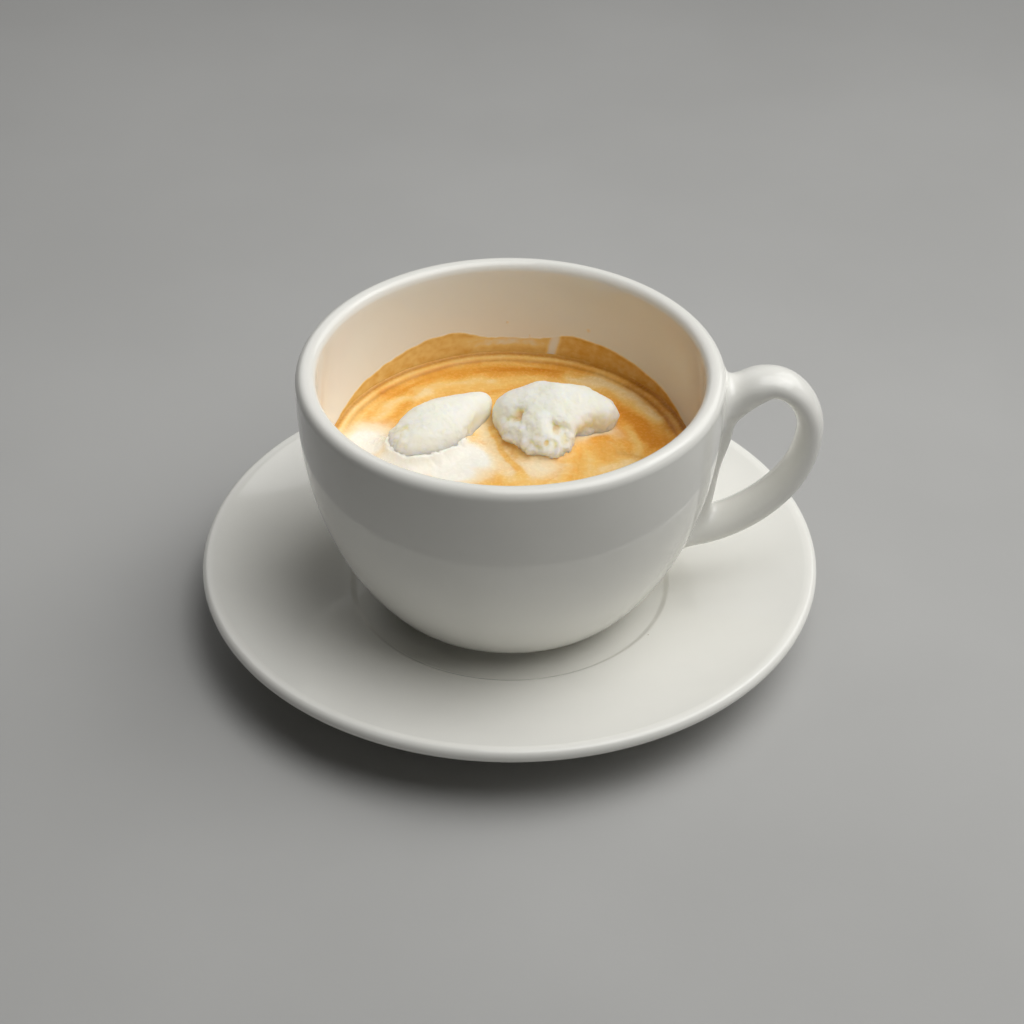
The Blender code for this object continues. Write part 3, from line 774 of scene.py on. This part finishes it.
def film_fields(turn, height):
    """Density of the film at an angle round the cup and a height over the coffee, with painted shade in it.
    The cup was tipped back, so the edge is a tilted circle: its height goes with the sine of the angle,
    lower where the coffee ran off again at the back, with a wiped gap. The film is darkest along its edge
    and foot, and darker on the right, partly a thicker film and partly painted shade of the wall."""
    degrees = np.degrees(turn) % 360
    round_wall = np.stack([np.cos(turn) * 9, np.sin(turn) * 9, height * 0.3], axis=-1)
    edge = 9.6 * np.sin(turn) - 1.9 - 2.6 * np.exp(-(((degrees - 89) / 15.0) ** 4))
    edge += 0.30 * drift(round_wall, 1.0, 41, 4) + 0.5 * np.exp(-(((degrees - 115) / 7.0) ** 2))
    gap = np.exp(-(((degrees - 77.2 + 0.3 * height) / 1.7) ** 4))
    density_and_shade = 1 / (1 + np.exp((height - edge) / 0.14))
    density_and_shade *= 0.60 + 0.16 * np.exp(-(((height - edge) / 0.7) ** 2)) + 0.12 * drift(round_wall, 0.4, 42, 3)
    # Darker on the right towards the back: partly a thicker film, partly painted shade of the right wall.
    density_and_shade += 0.26 * np.clip((78 - degrees) / 10, 0, 1) * density_and_shade
    density_and_shade += 0.30 * np.exp(-np.clip(height, 0, 9) / 1.2) * (edge > 0)
    density_and_shade -= 0.34 * np.exp(-(((degrees - 90) / 13.0) ** 4) - ((height - 4.2) / 1.5) ** 4)
    density_and_shade *= 1 - 0.85 * gap
    for middle, level, size, strength in FILM_DRIPS:
        aside = (degrees - middle) * FILM_DEGREE
        density_and_shade += strength * np.exp(-((aside**2 + (height - level) ** 2) / size**2))
    return np.clip(density_and_shade, 0, 1)


def film_grid():
    """A flat tube round the wall: its rows run up the film's face and back down inside the wall. The face
    stands off the wall by up to a tenth of a millimetre, and sinks behind it where there is no film."""
    turn = np.linspace(0, 2 * np.pi, FILM_COLUMNS, endpoint=False)[None]
    rise = np.linspace(-FILM_DEPTH, FILM_TOP, FILM_ROWS)[:, None]
    density_and_shade = film_fields(turn + 0 * rise, rise + 0 * turn)
    density_and_shade = density_and_shade * np.clip((FILM_TOP - 0.2 - rise) / 0.4, 0, 1)
    proud = 0.01 + 0.09 * density_and_shade - 0.14 * np.exp(-((density_and_shade / 0.04) ** 2))
    height = COFFEE_LEVEL + rise + 0 * turn
    face = inner_radius(height) - proud
    hidden = inner_radius(height) + 0.25
    radius = np.concatenate([face, hidden[::-1]])
    height = np.concatenate([height, height[::-1]])
    density_and_shade = np.concatenate([density_and_shade, density_and_shade[::-1]])
    return np.stack([radius * np.cos(turn), radius * np.sin(turn), height], axis=-1), density_and_shade


def tube_of(name, grid, fields):
    """A closed skin over a grid whose columns and whose rows both run round and meet, like a ring."""
    rows, columns = grid.shape[:2]
    number = np.arange(rows * columns).reshape(rows, columns)
    after = np.roll(number, -1, axis=1)
    quads = np.stack([number, after, np.roll(after, -1, axis=0), np.roll(number, -1, axis=0)], axis=-1)
    quads = quads.reshape(-1, 4)
    points = grid.reshape(-1, 3)
    a, b, c = points[quads[:, 0]], points[quads[:, 1]], points[quads[:, 2]]
    d = points[quads[:, 3]]
    if (a * np.cross(b, c)).sum() + (a * np.cross(c, d)).sum() < 0:
        quads = quads[:, ::-1]
    return mesh_object(name, points * MM, quads.ravel(), 4 * np.arange(len(quads)), fields)


def film_material():
    made, tree, shader = new_material("coffee_film")
    place = add(tree, "TexCoord").outputs["Object"]
    density_and_shade = add(tree, "Attribute", attribute_name="film").outputs["Fac"]
    group = add(tree, "Group", node_tree=glaze)
    tree.links.new(place, group.inputs["Place"])
    group.inputs["Porcelain"].default_value = PORCELAIN
    streak = add(tree, "TexNoise", {"Vector": place, "Scale": 700.0, "Detail": 3.0}).outputs["Fac"]
    uneven = add(tree, "Math", {0: streak, 1: 0.3, 2: 0.85}, operation="MULTIPLY_ADD").outputs[0]
    thickness_and_shade = add(tree, "Math", {0: density_and_shade, 1: uneven}, operation="MULTIPLY").outputs[0]
    weak = mixed(tree, ranged(tree, thickness_and_shade, 0.0, 0.5), group.outputs["Colour"], (0.93, 0.66, 0.25, 1))
    strong = mixed(tree, ranged(tree, thickness_and_shade, 0.4, 1.0), weak, (0.74, 0.36, 0.045, 1))
    tree.links.new(strong, shader.inputs["Base Color"])
    tree.links.new(ranged(tree, streak, 0.3, 0.7, 0.16, 0.26), shader.inputs["Roughness"])
    height = add(tree, "Math", {0: streak, 1: density_and_shade}, operation="MULTIPLY").outputs[0]
    bump = add(tree, "Bump", {"Height": height, "Distance": 0.03 * MM, "Strength": 0.6})
    tree.links.new(bump.outputs["Normal"], shader.inputs["Normal"])
    return made


film_points, film_density_and_shade = film_grid()
film = tube_of("coffee_film", film_points, {"film": film_density_and_shade})
film.data.materials.append(film_material())
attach(film, "root")


# The ice cream: two lumps of vanilla ice cream scooped with a spoon and slid into the coffee, so they have
# smooth pressed faces and torn, curdy ones. They melt where the coffee reaches, and soak it up there.
LUMP_COLUMNS = 340
LUMP_ROWS = 170
VANILLA = (0.945, 0.950, 0.815, 1)
VANILLA_PALE = (0.965, 0.970, 0.855, 1)
VANILLA_SHADED_HOLLOW = (0.92, 0.84, 0.55, 1)
SOAKED = (0.90, 0.68, 0.40, 1)


def scattered(points, cell, seed):
    """Distance to the nearest of points strewn one to a cubic cell, as a share of the cell's size."""
    strewn = np.random.default_rng(seed).uniform(size=(32, 32, 32, 3))
    place = points / cell
    base = np.floor(place).astype(int)
    nearest = np.full(points.shape[:-1], 9.0)
    for corner in np.ndindex(3, 3, 3):
        step = np.array(corner) - 1
        at = (base + step) % 32
        spot = base + step + strewn[at[..., 0], at[..., 1], at[..., 2]]
        nearest = np.minimum(nearest, np.linalg.norm(place - spot, axis=-1))
    return nearest


def lump_grid(lump, torn, pits):
    """Directions all round the lump, pushed out to its reach. Crags of drift and curds of scattered points
    roughen it most near the torn directions, and each pit is a small dent with coffee in it."""
    down = np.linspace(0, np.pi, LUMP_ROWS)[:, None]
    turn = np.linspace(0, 2 * np.pi, LUMP_COLUMNS, endpoint=False)[None]
    ways = np.stack([
        np.sin(down) * np.cos(turn), np.sin(down) * np.sin(turn), np.cos(down) + 0 * turn,
    ], axis=-1)
    reach = lump_reach(ways, lump)
    spot = ways * reach[..., None]
    ragged = np.zeros(reach.shape)
    for toward, width in torn:
        away = np.linalg.norm(ways - np.array(toward) / np.linalg.norm(toward), axis=-1)
        ragged = np.maximum(ragged, np.exp(-((away / width) ** 2)))
    crag = drift(spot, 5.0, lump["seed"], 4)
    fold = 1 - np.abs(drift(spot, 6.5, lump["seed"] + 1, 3))
    curd = scattered(spot + 0.5 * crag[..., None], 1.9, lump["seed"] + 2)
    grain = drift(spot, 1.1, lump["seed"] + 3, 3)
    relief = lump["rough"] * 9 * crag * (0.45 + 0.9 * ragged)
    relief += (0.10 + 1.1 * ragged) * (0.45 - curd) * 0.75
    relief += (0.20 + 1.2 * ragged) * (np.abs(drift(spot, 3.6, lump["seed"] + 6, 2)) - 0.25)
    relief += (0.04 + 0.16 * ragged) * grain - 1.8 * ragged * np.clip(fold - 0.85, 0, 1)
    soak = 0 * reach
    for toward, width, depth in pits:
        away = np.linalg.norm(ways - np.array(toward) / np.linalg.norm(toward), axis=-1)
        dent = np.exp(-((away / width) ** 2))
        relief -= depth * dent
        soak += 1.5 * dent
    reach = reach + relief
    turned_by = math.radians(lump["turn"])
    local = ways * reach[..., None]
    x = lump["middle"][0] + local[..., 0] * math.cos(turned_by) - local[..., 1] * math.sin(turned_by)
    y = lump["middle"][1] + local[..., 0] * math.sin(turned_by) + local[..., 1] * math.cos(turned_by)
    above = local[..., 2]
    over_coffee = above - 0.3 + 0.9 * drift(spot, 3.0, lump["seed"] + 4, 3)
    soak += 0.6 * np.exp(-np.clip(over_coffee, 0, 9) / 0.8)
    # How deep each point lies in a hollow, for painted shade there.
    hollow_shade = np.clip(-relief - 0.1, 0, 1)
    grid = np.stack([x, y, COFFEE_LEVEL + above], axis=-1)
    return grid, {"soak": np.clip(soak, 0, 1.3), "hollow_shade": hollow_shade}


def ice_cream_material():
    made, tree, shader = new_material("vanilla_ice_cream")
    place = add(tree, "TexCoord").outputs["Object"]
    soak = add(tree, "Attribute", attribute_name="soak").outputs["Fac"]
    hollow_shade = add(tree, "Attribute", attribute_name="hollow_shade").outputs["Fac"]
    blotch = add(tree, "TexNoise", {"Vector": place, "Scale": 260.0, "Detail": 4.0}).outputs["Fac"]
    white = mixed(tree, ranged(tree, blotch, 0.35, 0.65), VANILLA, VANILLA_PALE)
    # Painted shade: the hollows of the crags and curds are darker and yellower.
    shaded_hollows = mixed(tree, ranged(tree, hollow_shade, 0.05, 0.8, 0.0, 0.85), white, VANILLA_SHADED_HOLLOW)
    grain = add(tree, "TexNoise", {"Vector": place, "Scale": 1600.0, "Detail": 4.0}).outputs["Fac"]
    uneven = add(tree, "Math", {0: grain, 1: 0.6, 2: 0.7}, operation="MULTIPLY_ADD").outputs[0]
    wet = add(tree, "Math", {0: soak, 1: uneven}, operation="MULTIPLY").outputs[0]
    soaked = mixed(tree, ranged(tree, wet, 0.25, 1.1, 0.0, 0.6), shaded_hollows, SOAKED)
    tree.links.new(soaked, shader.inputs["Base Color"])
    tree.links.new(ranged(tree, wet, 0.0, 1.0, 0.5, 0.25), shader.inputs["Roughness"])
    ice = add(tree, "TexVoronoi", {"Vector": place, "Scale": 1300.0}).outputs["Distance"]
    height = add(tree, "Math", {0: ice, 1: -0.04}, operation="MULTIPLY").outputs[0]
    height = add(tree, "Math", {0: grain, 1: 0.09, 2: height}, operation="MULTIPLY_ADD").outputs[0]
    bump = add(tree, "Bump", {"Height": height, "Distance": MM, "Strength": 0.8})
    tree.links.new(bump.outputs["Normal"], shader.inputs["Normal"])
    shader.inputs["Subsurface Weight"].default_value = 1.0
    shader.inputs["Subsurface Radius"].default_value = (0.005, 0.0045, 0.003)
    shader.inputs["Subsurface Scale"].default_value = 1.0
    shader.inputs["IOR"].default_value = 1.38
    return made


ice_cream = ice_cream_material()
LEFT_TORN = [((-0.95, 0.26, 0.17), 0.45), ((0.43, -0.89, 0.12), 0.30)]
LEFT_PITS = [
    ((-0.10, -0.93, 0.35), 0.05, 0.35),
    ((0.28, -0.90, 0.33), 0.05, 0.35),
    ((-0.52, -0.82, 0.25), 0.06, 0.4),
]
RIGHT_TORN = [
    ((-0.58, -0.79, 0.21), 0.34), ((-0.26, -0.96, 0.14), 0.34), ((0.24, -0.96, 0.17), 0.30),
    ((-0.69, -0.54, 0.48), 0.25), ((0.22, -0.84, 0.50), 0.22), ((0.97, -0.24, 0.10), 0.25),
]
RIGHT_PITS = [
    ((0.02, -0.96, 0.26), 0.045, 0.9),
    ((0.19, -0.88, 0.45), 0.10, 0.6),
    ((-0.69, -0.54, 0.48), 0.15, 0.8),
]
for side, lump, torn, pits in (
    ("left", LEFT_LUMP, LEFT_TORN, LEFT_PITS),
    ("right", RIGHT_LUMP, RIGHT_TORN, RIGHT_PITS),
):
    lump_points, lump_fields = lump_grid(lump, torn, pits)
    scoop = wrapped("ice_cream_lump_" + side, lump_points, lump_fields)
    scoop.data.materials.append(ice_cream)
    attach(scoop, "root")
    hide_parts("ice_cream_" + side)
